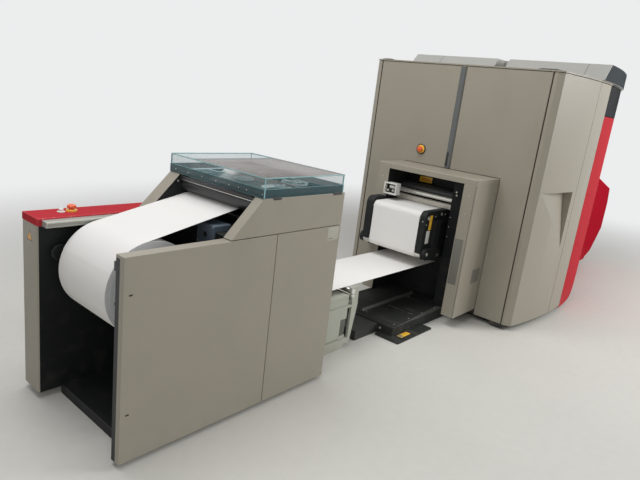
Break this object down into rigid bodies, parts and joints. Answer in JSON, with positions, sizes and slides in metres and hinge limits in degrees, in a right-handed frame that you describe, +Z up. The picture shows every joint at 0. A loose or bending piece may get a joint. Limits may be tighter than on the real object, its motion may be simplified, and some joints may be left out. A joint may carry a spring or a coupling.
{
  "type": "digital printing press line",
  "caption": "Web-fed digital production press: reel unwinder with clear cover, paper web, step platform and tall printing tower with doors and a rear module",
  "frame": {"origin": "on the floor under the middle of the paper web, 960 mm behind the front of the printing tower", "axes": "+X along the paper from the unwinder to the tower, +Y away from the aisle side, +Z up"},
  "size_m": [7.738, 2.0908, 2.465],
  "materials": {
    "housing_paint": "satin powder coat, warm grey",
    "red_paint": "satin paint, red",
    "black_paint": "fine-textured black coat",
    "pale_paint": "satin pale grey",
    "handle_paint": "satin dark grey",
    "acrylic": "clear sheet with a teal tint",
    "smoked": "smoked brown sheet",
    "dark_gloss": "glossy tinted panel",
    "roof_paint": "satin pale grey",
    "paper": "uncoated warm white",
    "steel": "ground steel",
    "black_roller": "hard black roller covering"
  },
  "bodies": {
    "press": {"near_front_panel": "housing_paint", "near_rear_panel": "housing_paint", "near_cheek": "housing_paint", "upper_shell": "housing_paint", "far_wall": "housing_paint", "infeed_cap": "housing_paint", "infeed_column_near": "housing_paint", "infeed_column_far": "housing_paint", "tower_body": "housing_paint", "far_wall_cap": "red_paint", "far_red_panel": "red_paint", "rear_cover": "red_paint", "unwinder_base": "black_paint", "infeed_liner": "black_paint", "step_platform": "black_paint", "chuck_arm_near": "black_paint", "chuck_arm_far": "black_paint", "tension_cheek_near": "black_paint", "tension_cheek_far": "black_paint", "rear_module": "black_paint", "control_shelf": "pale_paint", "guide_frame": "pale_paint", "cover_frame": "acrylic", "cover_panes": "acrylic", "cover_lid": "smoked", "window_band": "dark_gloss", "roof_hood": "roof_paint", "unwinder_web": "paper", "press_web": "paper", "nip_plate": "steel"},
    "reel": {"paper_reel": "paper", "reel_core": "steel"},
    "entry_idler": {"entry_roller": "black_roller"},
    "inner_idler": {"inner_roller": "steel"},
    "guide_idler": {"guide_roller": "steel"},
    "upper_idler": {"loop_roller_upper": "steel"},
    "lower_idler": {"loop_roller_lower": "steel"},
    "turn_idler": {"turn_roller": "steel"},
    "nip_idler": {"nip_roller": "steel"},
    "press_idler": {"press_roller": "black_roller"},
    "near_infeed_door": {"infeed_door_near": "housing_paint"},
    "far_infeed_door": {"infeed_door_far": "housing_paint", "door_handle_strip": "handle_paint"},
    "grey_door": {"grey_side_door": "housing_paint"},
    "red_door": {"red_side_door": "red_paint"}
  },
  "joints": [
    {"name": "reel_spin", "type": "hinge", "parent": "press", "child": "reel", "pos_m": [-4.225, 0, 0.805], "axis": [0, 1, 0], "continuous": true},
    {"name": "entry_spin", "type": "hinge", "parent": "press", "child": "entry_idler", "pos_m": [-3.65675, 0, 1.24949], "axis": [0, 1, 0], "continuous": true},
    {"name": "inner_spin", "type": "hinge", "parent": "press", "child": "inner_idler", "pos_m": [-3.349, 0, 1.29767], "axis": [0, 1, 0], "continuous": true},
    {"name": "guide_spin", "type": "hinge", "parent": "press", "child": "guide_idler", "pos_m": [-2.494, 0, 0.4707], "axis": [0, 1, 0], "continuous": true},
    {"name": "upper_spin", "type": "hinge", "parent": "press", "child": "upper_idler", "pos_m": [-1.521, 0, 0.961], "axis": [0, 1, 0], "continuous": true},
    {"name": "lower_spin", "type": "hinge", "parent": "press", "child": "lower_idler", "pos_m": [-1.521, 0, 0.641], "axis": [0, 1, 0], "continuous": true},
    {"name": "turn_spin", "type": "hinge", "parent": "press", "child": "turn_idler", "pos_m": [-1.081, 0, 0.543], "axis": [0, 1, 0], "continuous": true},
    {"name": "nip_spin", "type": "hinge", "parent": "press", "child": "nip_idler", "pos_m": [-1.16, 0, 1.1], "axis": [0, 1, 0], "continuous": true},
    {"name": "press_spin", "type": "hinge", "parent": "press", "child": "press_idler", "pos_m": [-1.088, 0, 1.131], "axis": [0, 1, 0], "continuous": true},
    {"name": "near_infeed_door_swing", "type": "hinge", "parent": "press", "child": "near_infeed_door", "pos_m": [-0.951, -0.904, 1.17], "axis": [0, 0, 1], "range_deg": [0, 90]},
    {"name": "far_infeed_door_swing", "type": "hinge", "parent": "press", "child": "far_infeed_door", "pos_m": [-0.951, 0.8, 1.17], "axis": [0, 0, -1], "range_deg": [0, 90]},
    {"name": "grey_door_swing", "type": "hinge", "parent": "press", "child": "grey_door", "pos_m": [-0.951, -0.93, 1.17], "axis": [0, 0, -1], "range_deg": [0, 90]},
    {"name": "red_door_swing", "type": "hinge", "parent": "press", "child": "red_door", "pos_m": [0.978, -0.95541, 1.17], "axis": [0, 0, 1], "range_deg": [0, 100]}
  ]
}
